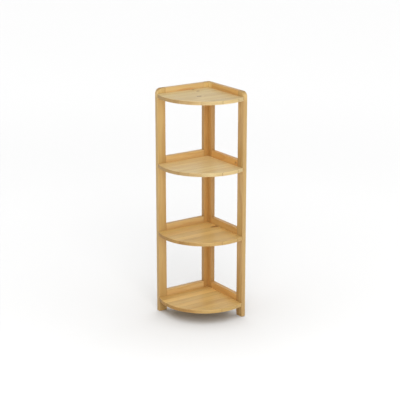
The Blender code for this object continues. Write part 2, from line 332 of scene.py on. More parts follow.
class WoodEffects:
    """The shader groups that the wooden finishes share.

    A ramp's numbers are where it starts and ends, and then its values there. A noise's numbers are its scale,
    detail and roughness.
    """

    SWAY_NOISE = (11.0,)
    YEAR_NOISE = (70.0, 1.0)
    STRENGTH_NOISE = (160.0, 1.0)
    BAND_NOISE = (26.0, 2.0, 0.55)
    FIBRE_NOISE = (520.0, 3.0, 0.65)
    KNOT_NOISE = (260.0,)
    WEAR_NOISE = (38.0, 3.0, 0.6)
    CLOUD_NOISE = (17.0, 3.0, 0.6)
    RING_RISE = (0.25, 0.88)
    RING_FALL = (0.90, 1.0, 1.0, 0.0)
    STRONG_YEARS = (0.35, 0.65, 0.45, 1.0)
    BAND_EDGE = (0.33, 0.67)
    FIBRE_SHADE = (0.2, 0.8, 0.94, 1.05)
    HEART_EDGE = (0.80, 1.0, 1.0, 0.0)
    HEART_YEARS = (0.0, 1.0, 0.70, 1.0)
    RIM_RISE = (0.62, 0.92)
    RIM_FALL = (1.0, 1.35, 1.0, 0.0)
    CUT_ACROSS = (0.35, 0.92)
    ROUNDED = (0.80, 0.97, 1.0, 0.0)
    WEAR_GAPS = (0.40, 0.62)
    CLOUD = (0.3, 0.7, 0.46, 0.56)
    COAT = (0.0, 1.0, 0.12, 0.04)
    JOINT_LINE = (0.0001, 0.0006, 1.0, 0.0)
    RING_SHEEN = -0.05
    CUT_ROUGHNESS = 0.20
    LOG_SHIFT = 13.0
    SLOW_PULL = 0.8
    LONG_PULL = 0.965
    SWAY = 0.022
    UNEVENNESS = 0.006
    RING_RELIEF = 0.35
    KNOT_WOBBLE = 0.5
    KNOT_YEARS = 19.0
    PUSH_FADE = -0.16
    PUSH = 1.7

    def __init__(self) -> None:
        """Builds each group once."""
        self.grain = self.make_grain()
        self.knot = self.make_knot()
        self.end_grain = self.make_end_grain()
        self.edge_wear = self.make_edge_wear()
        self.lacquer = self.make_lacquer()
        self.glue_line = self.make_glue_line()

    def make_grain(self) -> NodeTree:
        """Growth rings about a pith line, with soft bands and fine fibres along the board.

        Returns:
            The group.
        """
        inputs = {
            "Position": "vector",
            "Direction": (0.0, 0.0, 1.0),
            "Pith": "vector",
            "Tone": 1.0,
            "Deflection": 0.0,
            "Ring Spacing": 0.005,
            "Ring Strength": 0.6,
            "Band Strength": 0.5,
            "Pale Wood": (1.0, 1.0, 1.0, 1.0),
            "Dark Wood": (0.0, 0.0, 0.0, 1.0),
        }
        outputs = {"Color": "colour", "Height": "float", "Ring": "float"}
        graph = Graph.group("pine_grain", "ShaderNodeTree", inputs, outputs)
        position, direction, pith = graph["Position"], graph["Direction"], graph["Pith"]
        along = position.dot(direction)
        from_pith = position - pith
        across = from_pith - direction * from_pith.dot(direction)
        shifted = position + pith * self.LOG_SHIFT
        slow = shifted - direction * (along * self.SLOW_PULL)
        long = shifted - direction * (along * self.LONG_PULL)
        sway = (graph.noise(slow, *self.SWAY_NOISE) - 0.5) * self.SWAY
        bent = across.length() + sway + graph["Deflection"]
        years = graph.join(bent, pith.length())
        uneven = (graph.noise(years, *self.YEAR_NOISE) - 0.5) * self.UNEVENNESS
        phase = graph.math("FRACT", (bent + uneven) / graph["Ring Spacing"])
        strong_years = graph.ramp(graph.noise(years, *self.STRENGTH_NOISE), *self.STRONG_YEARS)
        ring = graph.ramp(phase, *self.RING_RISE) * graph.ramp(phase, *self.RING_FALL) * strong_years
        band = graph.ramp(graph.noise(long, *self.BAND_NOISE), *self.BAND_EDGE)
        fibre = graph.noise(long, *self.FIBRE_NOISE)
        parts = {0: ring * graph["Ring Strength"], 1: band * graph["Band Strength"]}
        share = graph.take("ShaderNodeMath", parts, operation="ADD", use_clamp=True)
        wood = graph.blend(share, graph["Pale Wood"], graph["Dark Wood"])
        graph["Color"] = wood * (graph.ramp(fibre, *self.FIBRE_SHADE) * graph["Tone"])
        graph["Height"] = fibre * 0.5 - ring * self.RING_RELIEF
        graph["Ring"] = ring
        return graph.tree

    def make_knot(self) -> NodeTree:
        """A branch's round end in a board: its heart, its dark rim and how it pushes the rings aside.

        Returns:
            The group.
        """
        inputs = {
            "Position": "vector",
            "Direction": (0.0, 0.0, 1.0),
            "Centre": "vector",
            "Branch": (1.0, 0.0, 0.0),
            "Radius": 0.005,
            "Stretch": 1.5,
            "Reach": 0.03,
        }
        outputs = {"Heart": "float", "Rim": "float", "Deflection": "float"}
        graph = Graph.group("pine_knot", "ShaderNodeTree", inputs, outputs)
        position, branch, direction = graph["Position"], graph["Branch"], graph["Direction"]
        away = position - graph["Centre"]
        depth = away.dot(branch)
        flat = away - branch * depth
        squeezed = flat - direction * (flat.dot(direction) * (1.0 - 1.0 / graph["Stretch"]))
        span = squeezed.length() / graph["Radius"]
        edge = span + (graph.noise(position, *self.KNOT_NOISE) - 0.5) * self.KNOT_WOBBLE
        near = graph.math("LESS_THAN", abs(depth), graph["Reach"])
        years = (graph.math("SINE", edge * self.KNOT_YEARS) + 1.0) * 0.5
        heart = graph.ramp(edge, *self.HEART_EDGE) * graph.ramp(years, *self.HEART_YEARS)
        rim = graph.ramp(edge, *self.RIM_RISE) * graph.ramp(edge, *self.RIM_FALL)
        push = graph.math("EXPONENT", span * span * self.PUSH_FADE) * graph["Radius"] * self.PUSH
        graph["Heart"], graph["Rim"], graph["Deflection"] = heart * near, rim * near, push * near
        return graph.tree

    def make_end_grain(self) -> NodeTree:
        """Where the fibres are cut across, which drinks more finish and looks darker.

        Returns:
            The group.
        """
        inputs = {"Normal": "vector", "Direction": (0.0, 0.0, 1.0)}
        graph = Graph.group("end_grain", "ShaderNodeTree", inputs, {"Mask": "float"})
        graph["Mask"] = graph.ramp(abs(graph["Normal"].dot(graph["Direction"])), *self.CUT_ACROSS)
        return graph.tree

    def make_edge_wear(self) -> NodeTree:
        """A broken line of paler wood along the eased edges.

        Returns:
            The group.
        """
        inputs = {"Position": "vector", "Normal": "vector", "Curved Plan": 0.0}
        graph = Graph.group("edge_wear", "ShaderNodeTree", inputs, {"Mask": "float"})
        x, y, z = graph.split(graph.vector("ABSOLUTE", graph["Normal"]))
        squared = graph.math("MAXIMUM", graph.math("MAXIMUM", x, y), z)
        swept = graph.math("MAXIMUM", graph.math("SQRT", x * x + y * y), z)
        curved = graph["Curved Plan"]
        rounded = graph.ramp(squared * (1.0 - curved) + swept * curved, *self.ROUNDED)
        broken = graph.ramp(graph.noise(graph["Position"], *self.WEAR_NOISE), *self.WEAR_GAPS)
        graph["Mask"] = rounded * broken
        return graph.tree

    def make_lacquer(self) -> NodeTree:
        """The clear coat's unevenness, with a little telegraphing of the rings.

        Returns:
            The group.
        """
        inputs = {"Position": "vector", "Ring": 0.0, "Rough End": 0.0}
        outputs = {"Roughness": "float", "Coat": "float"}
        graph = Graph.group("satin_lacquer", "ShaderNodeTree", inputs, outputs)
        cloud = graph.ramp(graph.noise(graph["Position"], *self.CLOUD_NOISE), *self.CLOUD)
        cut = graph["Rough End"]
        graph["Roughness"] = cloud + graph["Ring"] * self.RING_SHEEN + cut * self.CUT_ROUGHNESS
        graph["Coat"] = graph.ramp(cut, *self.COAT)
        return graph.tree

    def make_glue_line(self) -> NodeTree:
        """The thin dark line between two staves.

        Returns:
            The group.
        """
        inputs = {"Position": "vector", "First Joint": 0.0, "Stave Width": 0.05}
        graph = Graph.group("glue_line", "ShaderNodeTree", inputs, {"Mask": "float"})
        width = graph["Stave Width"]
        count = (graph.split(graph["Position"])[0] - graph["First Joint"]) / width
        away = abs(count - graph.math("ROUND", count))
        graph["Mask"] = graph.ramp(away * width, *self.JOINT_LINE)
        return graph.tree


@dataclass(frozen=True)
class Knot:
    """A knot, by the place of its middle on the board's face."""

    place: Place
    radius: float
    branch: Place
    stretch: float = 1.5
    reach: float = 0.030


@dataclass(frozen=True)
class Streak:
    """A soft reddish mark along the grain."""

    place: Place
    half_length: float
    half_width: float


class Finish:
    """What the finishes share. Each has a name and a pale colour of its own."""

    def make(self, effects: WoodEffects) -> Material:
        """Builds the material.

        Args:
            effects: The shared shader groups.

        Returns:
            The material.
        """
        material = bpy.data.materials.new(self.name)
        material.use_nodes = True
        graph = Graph(material.node_tree)
        shader = material.node_tree.nodes["Principled BSDF"]
        position = graph.take("ShaderNodeTexCoord", output="Object")
        for label, value in self.sockets(graph, effects, position).items():
            graph.feed(shader.inputs[label], value)
        material.diffuse_color = self.pale
        return material


@dataclass(frozen=True)
class PineFinish(Finish):
    """Clear lacquered pine with its fibres in one direction."""

    name: str
    grain: Grain
    pale: Colour
    dark: Colour
    ring_spacing: float
    ring_strength: float
    band_strength: float
    knots: tuple[Knot, ...] = ()
    streaks: tuple[Streak, ...] = ()
    bowed: bool = False
    first_joint: float = 0.0
    stave_width: float = 0.0
    heart: Colour = paint(126, 62, 26)
    rim: Colour = paint(84, 44, 20)
    red: Colour = paint(186, 96, 44)
    end: Colour = paint(214, 176, 128)
    # Painted shade on a bowed shelf's upright faces; white leaves them as they are.
    painted_front_shade: Colour = paint(255, 255, 255)
    # Painted top light on upright boards: the heights where it starts and where it is full, and the factor
    # that makes the colour paler.
    top_light_start: float = 1.095
    top_light_full: float = 1.135
    painted_top_light: Place = (1.0, 1.0, 1.0)
    worn: Colour = paint(232, 202, 146)
    glue: Colour = paint(150, 100, 52)
    rim_share: float = 0.75
    heart_share: float = 0.80
    glue_share: float = 0.6
    end_share: float = 0.75
    worn_share: float = 0.15
    streak_share: float = 0.45
    coat_roughness: float = 0.32
    lacquer_index: float = 1.48
    relief: tuple[float, float] = (0.25, 0.0004)
    front_shade_slope: tuple[float, ...] = (0.3, 0.8, 1.0, 0.0)
    top_light_slope: tuple[float, ...] = (0.3, 0.7, 1.0, 0.0)
    streak_fade: tuple[float, float] = (0.15, 1.1)

    def sockets(self, graph: Graph, effects: WoodEffects, position: Arrow) -> dict[str, object]:
        """What goes into the surface shader.

        Args:
            graph: The material's graph.
            effects: The shared shader groups.
            position: The place on the object.

        Returns:
            Socket name to value.
        """
        normal = graph.take("ShaderNodeTexCoord", output="Normal")
        direction = self.grain.value
        heart, rim, push = self.add_knots(graph, effects, position)
        grain = graph.use(
            effects.grain,
            {
                "Position": position,
                "Direction": direction,
                "Pith": graph.take("ShaderNodeAttribute", output="Vector", attribute_name="pith"),
                "Tone": graph.take("ShaderNodeAttribute", output="Fac", attribute_name="tone"),
                "Deflection": push,
                "Ring Spacing": self.ring_spacing,
                "Ring Strength": self.ring_strength,
                "Band Strength": self.band_strength,
                "Pale Wood": self.pale,
                "Dark Wood": self.dark,
            },
        )
        colour = grain["Color"]
        for streak in self.streaks:
            colour = graph.blend(self.streak_mask(graph, position, streak), colour, self.red)
        colour = graph.blend(graph.math("MULTIPLY", rim, self.rim_share), colour, self.rim)
        colour = graph.blend(graph.math("MULTIPLY", heart, self.heart_share), colour, self.heart)
        if self.stave_width:
            joints = {"Position": position, "First Joint": self.first_joint, "Stave Width": self.stave_width}
            glue = graph.use(effects.glue_line, joints)["Mask"]
            colour = graph.blend(glue * self.glue_share, colour, self.glue)
        cut = graph.use(effects.end_grain, {"Normal": normal, "Direction": direction})["Mask"]
        colour = graph.blend(cut * self.end_share, colour, self.end, "MULTIPLY")
        # Painted shade: on bowed shelves, the faces that stand upright are multiplied darker than the tops.
        if self.bowed:
            painted_front_shade = graph.ramp(abs(graph.split(normal)[2]), *self.front_shade_slope)
            colour = graph.blend(painted_front_shade, colour, self.painted_front_shade, "MULTIPLY")
        # Painted top light: above the top shelf, the stiles' faces that look into the room are made paler, as
        # light from above would make them.
        if self.grain is Grain.UPRIGHT:
            upper = self.painted_top_light_mask(graph, position, normal)
            colour = graph.blend(upper, colour, graph.vector("MULTIPLY", colour, self.painted_top_light))
        eased = {"Position": position, "Normal": normal, "Curved Plan": float(self.bowed)}
        worn = graph.use(effects.edge_wear, eased)["Mask"]
        colour = graph.blend(worn * self.worn_share, colour, self.worn)
        coat = graph.use(effects.lacquer, {"Position": position, "Ring": grain["Ring"], "Rough End": cut})
        return {
            "Base Color": colour,
            "Roughness": coat["Roughness"],
            "Coat Weight": coat["Coat"],
            "Coat Roughness": self.coat_roughness,
            "IOR": self.lacquer_index,
            "Normal": graph.bump(*self.relief, grain["Height"]),
        }

    def painted_top_light_mask(self, graph: Graph, position: Arrow, normal: Arrow) -> Number:
        """The mask of the painted top light: a stile's end above the top shelf, on the faces that look into
        the room.

        Args:
            graph: The material's graph.
            position: The place on the object.
            normal: The way that the surface faces.

        Returns:
            The mask, from 0 to 1.
        """
        x, y, _ = graph.split(normal)
        top_light_facing = graph.ramp(graph.math("MAXIMUM", x * -1.0, y), *self.top_light_slope)
        return graph.ramp(graph.split(position)[2], self.top_light_start, self.top_light_full) * top_light_facing

    def add_knots(self, graph: Graph, effects: WoodEffects, position: Arrow) -> list[Number | float]:
        """Places this finish's knots.

        Args:
            graph: The material's graph.
            effects: The shared shader groups.
            position: The place on the object.

        Returns:
            The hearts' mask, the rims' mask and the push on the rings, all knots together.
        """
        totals: list[Number | float] = [0.0, 0.0, 0.0]
        for knot in self.knots:
            inputs = {
                "Position": position,
                "Direction": self.grain.value,
                "Centre": knot.place,
                "Branch": knot.branch,
                "Radius": knot.radius,
                "Stretch": knot.stretch,
                "Reach": knot.reach,
            }
            totals = [total + part for total, part in zip(totals, graph.use(effects.knot, inputs).values())]
        return totals

    def streak_mask(self, graph: Graph, position: Arrow, streak: Streak) -> Number:
        """The mask of one streak.

        Args:
            graph: The material's graph.
            position: The place on the object.
            streak: Where it lies and how far it runs.

        Returns:
            The mask, from 0 to 1.
        """
        direction = self.grain.value
        away = position - streak.place
        along = away.dot(direction)
        run = along / streak.half_length
        width = (away - graph.scaled(direction, along)).length() / streak.half_width
        return graph.ramp(run * run + width * width, *self.streak_fade, self.streak_share, 0.0)


@dataclass(frozen=True)
class BeechFinish(Finish):
    """Plain unlacquered beech with short flecks, for dowels."""

    name: str = "fluted_beech"
    pale: Colour = paint(214, 182, 142)
    dark: Colour = paint(184, 144, 102)
    fleck: Colour = paint(142, 98, 62)
    direction: Place = (0.7071, 0.7071, 0.0)
    pith: Place = (0.4, -0.3, 0.2)
    ring_spacing: float = 0.0022
    ring_strength: float = 0.3
    band_strength: float = 0.3
    fleck_noise: tuple[float, float] = (1500.0, 1.0)
    fleck_edge: tuple[float, ...] = (0.60, 0.70, 0.0, 0.35)
    roughness: tuple[float, ...] = (0.0, 1.0, 0.62, 0.74)
    relief: tuple[float, float] = (0.3, 0.0002)

    def sockets(self, graph: Graph, effects: WoodEffects, position: Arrow) -> dict[str, object]:
        """What goes into the surface shader.

        Args:
            graph: The material's graph.
            effects: The shared shader groups.
            position: The place on the object.

        Returns:
            Socket name to value.
        """
        inputs = {
            "Position": position,
            "Direction": self.direction,
            "Pith": self.pith,
            "Tone": 1.0,
            "Ring Spacing": self.ring_spacing,
            "Ring Strength": self.ring_strength,
            "Band Strength": self.band_strength,
            "Pale Wood": self.pale,
            "Dark Wood": self.dark,
        }
        grain = graph.use(effects.grain, inputs)
        flecks = graph.ramp(graph.noise(position, *self.fleck_noise), *self.fleck_edge)
        return {
            "Base Color": graph.blend(flecks, grain["Color"], self.fleck),
            "Roughness": graph.ramp(grain["Ring"], *self.roughness),
            "Normal": graph.bump(*self.relief, grain["Height"]),
        }


@dataclass(frozen=True)
class ZincFinish(Finish):
    """Bright zinc-plated steel with a faintly cloudy surface."""

    name: str = "plated_zinc"
    pale: Colour = paint(206, 207, 204)
    dull: Colour = paint(164, 163, 156)
    cloud_noise: tuple[float, ...] = (420.0, 3.0, 0.6)
    cloud_edge: tuple[float, float] = (0.35, 0.65)
    scratch_scale: float = 2600.0
    roughness: tuple[float, ...] = (0.3, 0.7, 0.24, 0.42)
    relief: tuple[float, float] = (0.12, 0.0001)

    def sockets(self, graph: Graph, effects: WoodEffects, position: Arrow) -> dict[str, object]:
        """What goes into the surface shader.

        Args:
            graph: The material's graph.
            effects: The shared shader groups, of which metal uses none.
            position: The place on the object.

        Returns:
            Socket name to value.
        """
        cloud = graph.ramp(graph.noise(position, *self.cloud_noise), *self.cloud_edge)
        scratch = graph.noise(position, self.scratch_scale)
        return {
            "Base Color": graph.blend(cloud, self.pale, self.dull),
            "Roughness": graph.ramp(scratch, *self.roughness),
            "Metallic": 1.0,
            "Normal": graph.bump(*self.relief, scratch),
        }


def corners(node: str) -> Mark:
    """The lowest and highest corner of a solid."""
    low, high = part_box(node)
    return Vector(low), Vector(high)


def screw_mark(screw: str, node: str) -> Mark:
    """Where a screw enters a solid.

    Args:
        screw: The screw's solid.
        node: The solid that it enters, or the screw's own.

    Returns:
        The point on the solid's wall side, and the way that the screw points.
    """
    low, high = corners(screw)
    start = (low + high) / 2
    wall_low, wall_high = corners(node)
    if "_side" in screw:
        start.x = wall_low.x
        return start, Vector((1, 0, 0))
    start.y = wall_high.y
    return start, Vector((0, -1, 0))


def mesh_of(name: str, work: bmesh.types.BMesh) -> Mesh:
    """The finished mesh of some faces, all facing outwards.

    Args:
        name: The mesh's name.
        work: The faces.

    Returns:
        The mesh.
    """
    bmesh.ops.recalc_face_normals(work, faces=work.faces)
    mesh = bpy.data.meshes.new(name)
    work.to_mesh(mesh)
    work.free()
    return mesh


def prism(name: str, outline: list[Vector], lift: Vector) -> Mesh:
    """A closed prism.

    Args:
        name: The mesh's name.
        outline: The corners of its flat end.
        lift: From that end to the other one.

    Returns:
        The mesh.
    """
    work = bmesh.new()
    first = [work.verts.new(point) for point in outline]
    second = [work.verts.new(point + lift) for point in outline]
    work.faces.new(reversed(first))
    work.faces.new(second)
    for index, corner in enumerate(first):
        other = (index + 1) % len(first)
        work.faces.new((corner, first[other], second[other], second[index]))
    return mesh_of(name, work)


def bores(name: str, marks: list[Mark], section: Section, sides: int = 24) -> Mesh:
    """Turned cutters, one at each mark.

    Args:
        name: The mesh's name.
        marks: Each cutter's start and direction.
        section: Its outline, as (radius, distance) points from mouth to end.
        sides: How many faces it has round it.

    Returns:
        The mesh of all the cutters.
    """
    work = bmesh.new()
    angles = [FULL_TURN * k / sides for k in range(sides)]
    for start, direction in marks:
        turn = Matrix.Translation(start) @ direction.to_track_quat("Z", "Y").to_matrix().to_4x4()
        rings = [
            [work.verts.new(turn @ Vector((r * math.cos(a), r * math.sin(a), h))) for a in angles]
            for r, h in section
        ]
        for lower, upper in zip(rings, rings[1:]):
            for k in range(sides):
                following = (k + 1) % sides
                work.faces.new((lower[k], lower[following], upper[following], upper[k]))
        work.faces.new(reversed(rings[0]))
        work.faces.new(rings[-1])
    return mesh_of(name, work)


class Workshop:
    """What every piece needs: temporary holders, finished meshes and the calls that hand a piece in."""

    def __init__(self) -> None:
        """Makes the collection that the finished pieces go into."""
        self.collection = bpy.data.collections.new("dressed_pieces")
        bpy.context.scene.collection.children.link(self.collection)

    def hold(self, name: str, mesh: Mesh) -> Object:
        """Puts a mesh in the scene for as long as its modifiers need.

        Args:
            name: The holder's name.
            mesh: The mesh.

        Returns:
            The holder.
        """
        holder = bpy.data.objects.new(name, mesh)
        bpy.context.scene.collection.objects.link(holder)
        return holder

    def settle(self, holder: Object) -> Mesh:
        """Removes a holder.

        Args:
            holder: What holds the mesh.

        Returns:
            The plain mesh that its modifiers make.
        """
        bpy.context.view_layer.update()
        shown = holder.evaluated_get(bpy.context.evaluated_depsgraph_get())
        mesh = bpy.data.meshes.new_from_object(shown)
        bpy.data.objects.remove(holder)
        return mesh

    def run(self, tree: NodeTree, base: Mesh, values: dict) -> Mesh:
        """Runs a geometry tree on a base mesh.

        Args:
            tree: The tree.
            base: The mesh that goes in.
            values: Input name to value.

        Returns:
            The plain mesh that comes out.
        """
        holder = self.hold(tree.name, base)
        modifier = holder.modifiers.new(tree.name, "NODES")
        modifier.node_group = tree
        for item in tree.interface.items_tree:
            if item.in_out == "INPUT" and item.name in values:
                modifier[item.identifier] = values[item.name]
        return self.settle(holder)

    def plane(
        self, name: str, blank: Mesh, easing: float, segments: int, cuts: list[Mesh]
    ) -> Mesh:
        """Rounds a blank's edges and bores it.

        Args:
            name: The piece's name.
            blank: The sharp-edged mesh.
            easing: How wide the edges are rounded.
            segments: The steps of that rounding.
            cuts: The meshes that are taken out.

        Returns:
            The planed mesh.
        """
        holder = self.hold(name + "_blank", self.smooth(blank))
        bevel = holder.modifiers.new("eased", "BEVEL")
        bevel.width = easing
        bevel.segments = segments
        bevel.limit_method = "ANGLE"
        bevel.angle_limit = SHARP_ANGLE
        cutters = [self.hold(mesh.name, mesh) for mesh in cuts]
        for cutter in cutters:
            cut = holder.modifiers.new(cutter.name, "BOOLEAN")
            cut.operation = "DIFFERENCE"
            cut.solver = "EXACT"
            cut.object = cutter
        holder.modifiers.new("flat_faces", "WEIGHTED_NORMAL").keep_sharp = True
        planed = self.settle(holder)
        for cutter in cutters:
            bpy.data.objects.remove(cutter)
        return planed

    def outward(self, mesh: Mesh) -> Mesh:
        """Merges doubles and points every face outwards.

        Args:
            mesh: The mesh.

        Returns:
            The same mesh.
        """
        work = bmesh.new()
        work.from_mesh(mesh)
        bmesh.ops.remove_doubles(work, verts=work.verts, dist=MERGE)
        bmesh.ops.recalc_face_normals(work, faces=work.faces)
        work.to_mesh(mesh)
        work.free()
        return mesh

    def smooth(self, mesh: Mesh, angle: float = 35.0) -> Mesh:
        """Shades a mesh smooth.

        Args:
            mesh: The mesh.
            angle: The widest angle in degrees that still looks smooth.

        Returns:
            The same mesh.
        """
        mesh.shade_smooth()
        mesh.set_sharp_from_angle(angle=math.radians(angle))
        return mesh

    def hand_in(
        self, name: str, mesh: Mesh, finish: Material, nodes: list[str]
    ) -> None:
        """Makes the finished piece and says which solids it stands for.

        Args:
            name: The piece's name.
            mesh: Its mesh, in the shared frame.
            finish: Its material.
            nodes: The solids that it replaces.
        """
        mesh.name = name
        mesh.materials.clear()
        mesh.materials.append(finish)
        piece = bpy.data.objects.new(name, mesh)
        self.collection.objects.link(piece)
        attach(piece, "root")
        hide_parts(*nodes)
        mesh.calc_loop_triangles()
        LOG.info("%s: %d triangles, for %d solids", name, len(mesh.loop_triangles), len(nodes))


@dataclass
class Joinery:
    """The bores for dowels and screws, with their clearances."""

    dowel_radius: float = 0.0042
    dowel_depth: float = 0.0202
    screw_radius: float = 0.00315
    pilot_radius: float = 0.00265
    pilot_depth: float = 0.0283
    sink_radius: float = 0.00505
    sink_start: float = 0.0012
    sink_end: float = 0.0046
    overrun: float = 0.002

    def dowel_section(self) -> Section:
        """Outline of a dowel bore."""
        return [(self.dowel_radius, -self.overrun), (self.dowel_radius, self.dowel_depth)]

    def sink_section(self, through: float) -> Section:
        """Outline of a countersunk bore through a rail."""
        wide = [(self.sink_radius, -self.overrun), (self.sink_radius, self.sink_start)]
        return wide + [(self.screw_radius, self.sink_end), (self.screw_radius, through + self.overrun)]

    def pilot_section(self) -> Section:
        """Outline of a screw's bore in a shelf."""
        return [(self.pilot_radius, -self.overrun), (self.pilot_radius, self.pilot_depth)]


@dataclass
class Board:
    """One planed board of a frame, with eased edges, bored for its dowels and screws."""

    node: str
    side: Side
    tone: float
    pith_offset: tuple[float, float]
    rounded_top: bool = False
    # Painted shade on the narrow edge faces: their tone factor, 1 for none.
    painted_edge_shade: float = 1.0
    easing: float = 0.002
    easing_segments: int = 4
    top_radius: float = 0.026
    corner_steps: int = 20
    square_on: float = 0.8

    @property
    def is_stile(self) -> bool:
        """Whether the board stands upright."""
        return self.node.endswith("stile")

    @property
    def run(self) -> int:
        """The axis that the frame runs along. The board's thickness lies on the other one."""
        return 1 if self.side is Side.SIDE else 0

    def outline(self) -> list[Vector]:
        """The board's face on its wall side, with the outer front corner rounded where asked.

        Returns:
            The corners in order.
        """
        low, high = corners(self.node)
        ends = (low[self.run], high[self.run])
        front, back = ends if self.side is Side.SIDE else ends[::-1]
        points = [(back, low.z), (front, low.z), (front, high.z), (back, high.z)]
        if self.rounded_top:
            radius = self.top_radius if back > front else -self.top_radius
            middle, rise = front + radius, high.z - self.top_radius
            turns = [QUARTER_TURN * step / self.corner_steps for step in range(self.corner_steps + 1)]
            arc = [(-radius * math.cos(turn), self.top_radius * math.sin(turn)) for turn in turns]
            points[2:3] = [(middle + run, rise + up) for run, up in arc]
        if self.side is Side.SIDE:
            return [Vector((low.x, run, z)) for run, z in points]
        return [Vector((run, low.y, z)) for run, z in points]

    def dowel_marks(self) -> list[Mark]:
        """Where dowels enter the board.

        Returns:
            The start and direction of each bore.
        """
        low, high = corners(self.node)
        marks = []
        for level in range(1, SHELF_COUNT + 1):
            for place in DOWEL_PLACES:
                dowel_low, dowel_high = corners(f"{self.side.value}_{level}_{place}")
                middle = (dowel_low + dowel_high) / 2
                for face, inward in ((low[self.run], 1), (high[self.run], -1)):
                    if low.z < middle.z < high.z and abs(middle[self.run] - face) < self.easing:
                        middle[self.run] = face
                        direction = Vector((0, 0, 0))
                        direction[self.run] = inward
                        marks.append((middle.copy(), direction))
        return marks

    def make(self, workshop: Workshop, joinery: Joinery, screws: list[str], finish: Material) -> None:
        """Builds the board and hands it in.

        Args:
            workshop: What makes and hands in pieces.
            joinery: The sizes of the bores.
            screws: The screws that pass through this board.
            finish: The material.
        """
        low, high = corners(self.node)
        deep = 1 - self.run
        lift = Vector((0, 0, 0))
        lift[deep] = high[deep] - low[deep]
        cuts = [bores(self.node + "_dowels", self.dowel_marks(), joinery.dowel_section())]
        if screws:
            marks = [screw_mark(screw, self.node) for screw in screws]
            cuts.append(bores(self.node + "_sinks", marks, joinery.sink_section(lift[deep])))
        blank = prism(self.node, self.outline(), lift)
        mesh = workshop.plane(self.node, blank, self.easing, self.easing_segments, cuts)
        self.mark(mesh, (low + high) / 2)
        workshop.hand_in(self.node + "_board", mesh, finish, [self.node])

    def mark(self, mesh: Mesh, pith: Vector) -> None:
        """Gives the mesh its own tone, with painted shade on the narrow edge faces where asked, and the place
        of its tree's heart.

        Args:
            mesh: The board's mesh.
            pith: The board's middle, which the heart is measured from.
        """
        across, deep = self.pith_offset
        pith[self.run if self.is_stile else 2] += across
        pith[1 - self.run] += deep
        tones = mesh.attributes.new("tone", "FLOAT", "FACE")
        piths = mesh.attributes.new("pith", "FLOAT_VECTOR", "POINT")
        # Painted shade: the faces that look along the frame, the narrow edges, take a darker tone where
        # asked.
        edges = [abs(face.normal[self.run]) > self.square_on for face in mesh.polygons]
        tones.data.foreach_set("value", [self.tone * (self.painted_edge_shade if edge else 1.0) for edge in edges])
        piths.data.foreach_set("vector", list(pith) * len(mesh.vertices))


@dataclass
class LadderFrame:
    """A frame of two stiles and a rail at each shelf."""

    side: Side
    boards: list[Board]

    def make(
        self, workshop: Workshop, joinery: Joinery, stiles: dict[str, Material], rail: Material
    ) -> None:
        """Builds every board of the frame.

        Args:
            workshop: What makes and hands in pieces.
            joinery: The sizes of the bores.
            stiles: The materials of the upright boards, "front" and "corner".
            rail: The material of the level boards.
        """
        for board in self.boards:
            if board.is_stile:
                board.make(workshop, joinery, [], stiles["corner" if "corner" in board.node else "front"])
            else:
                level = board.node[-1]
                board.make(workshop, joinery, [f"screw_{level}_{end}" for end in SCREW_ENDS[self.side]], rail)


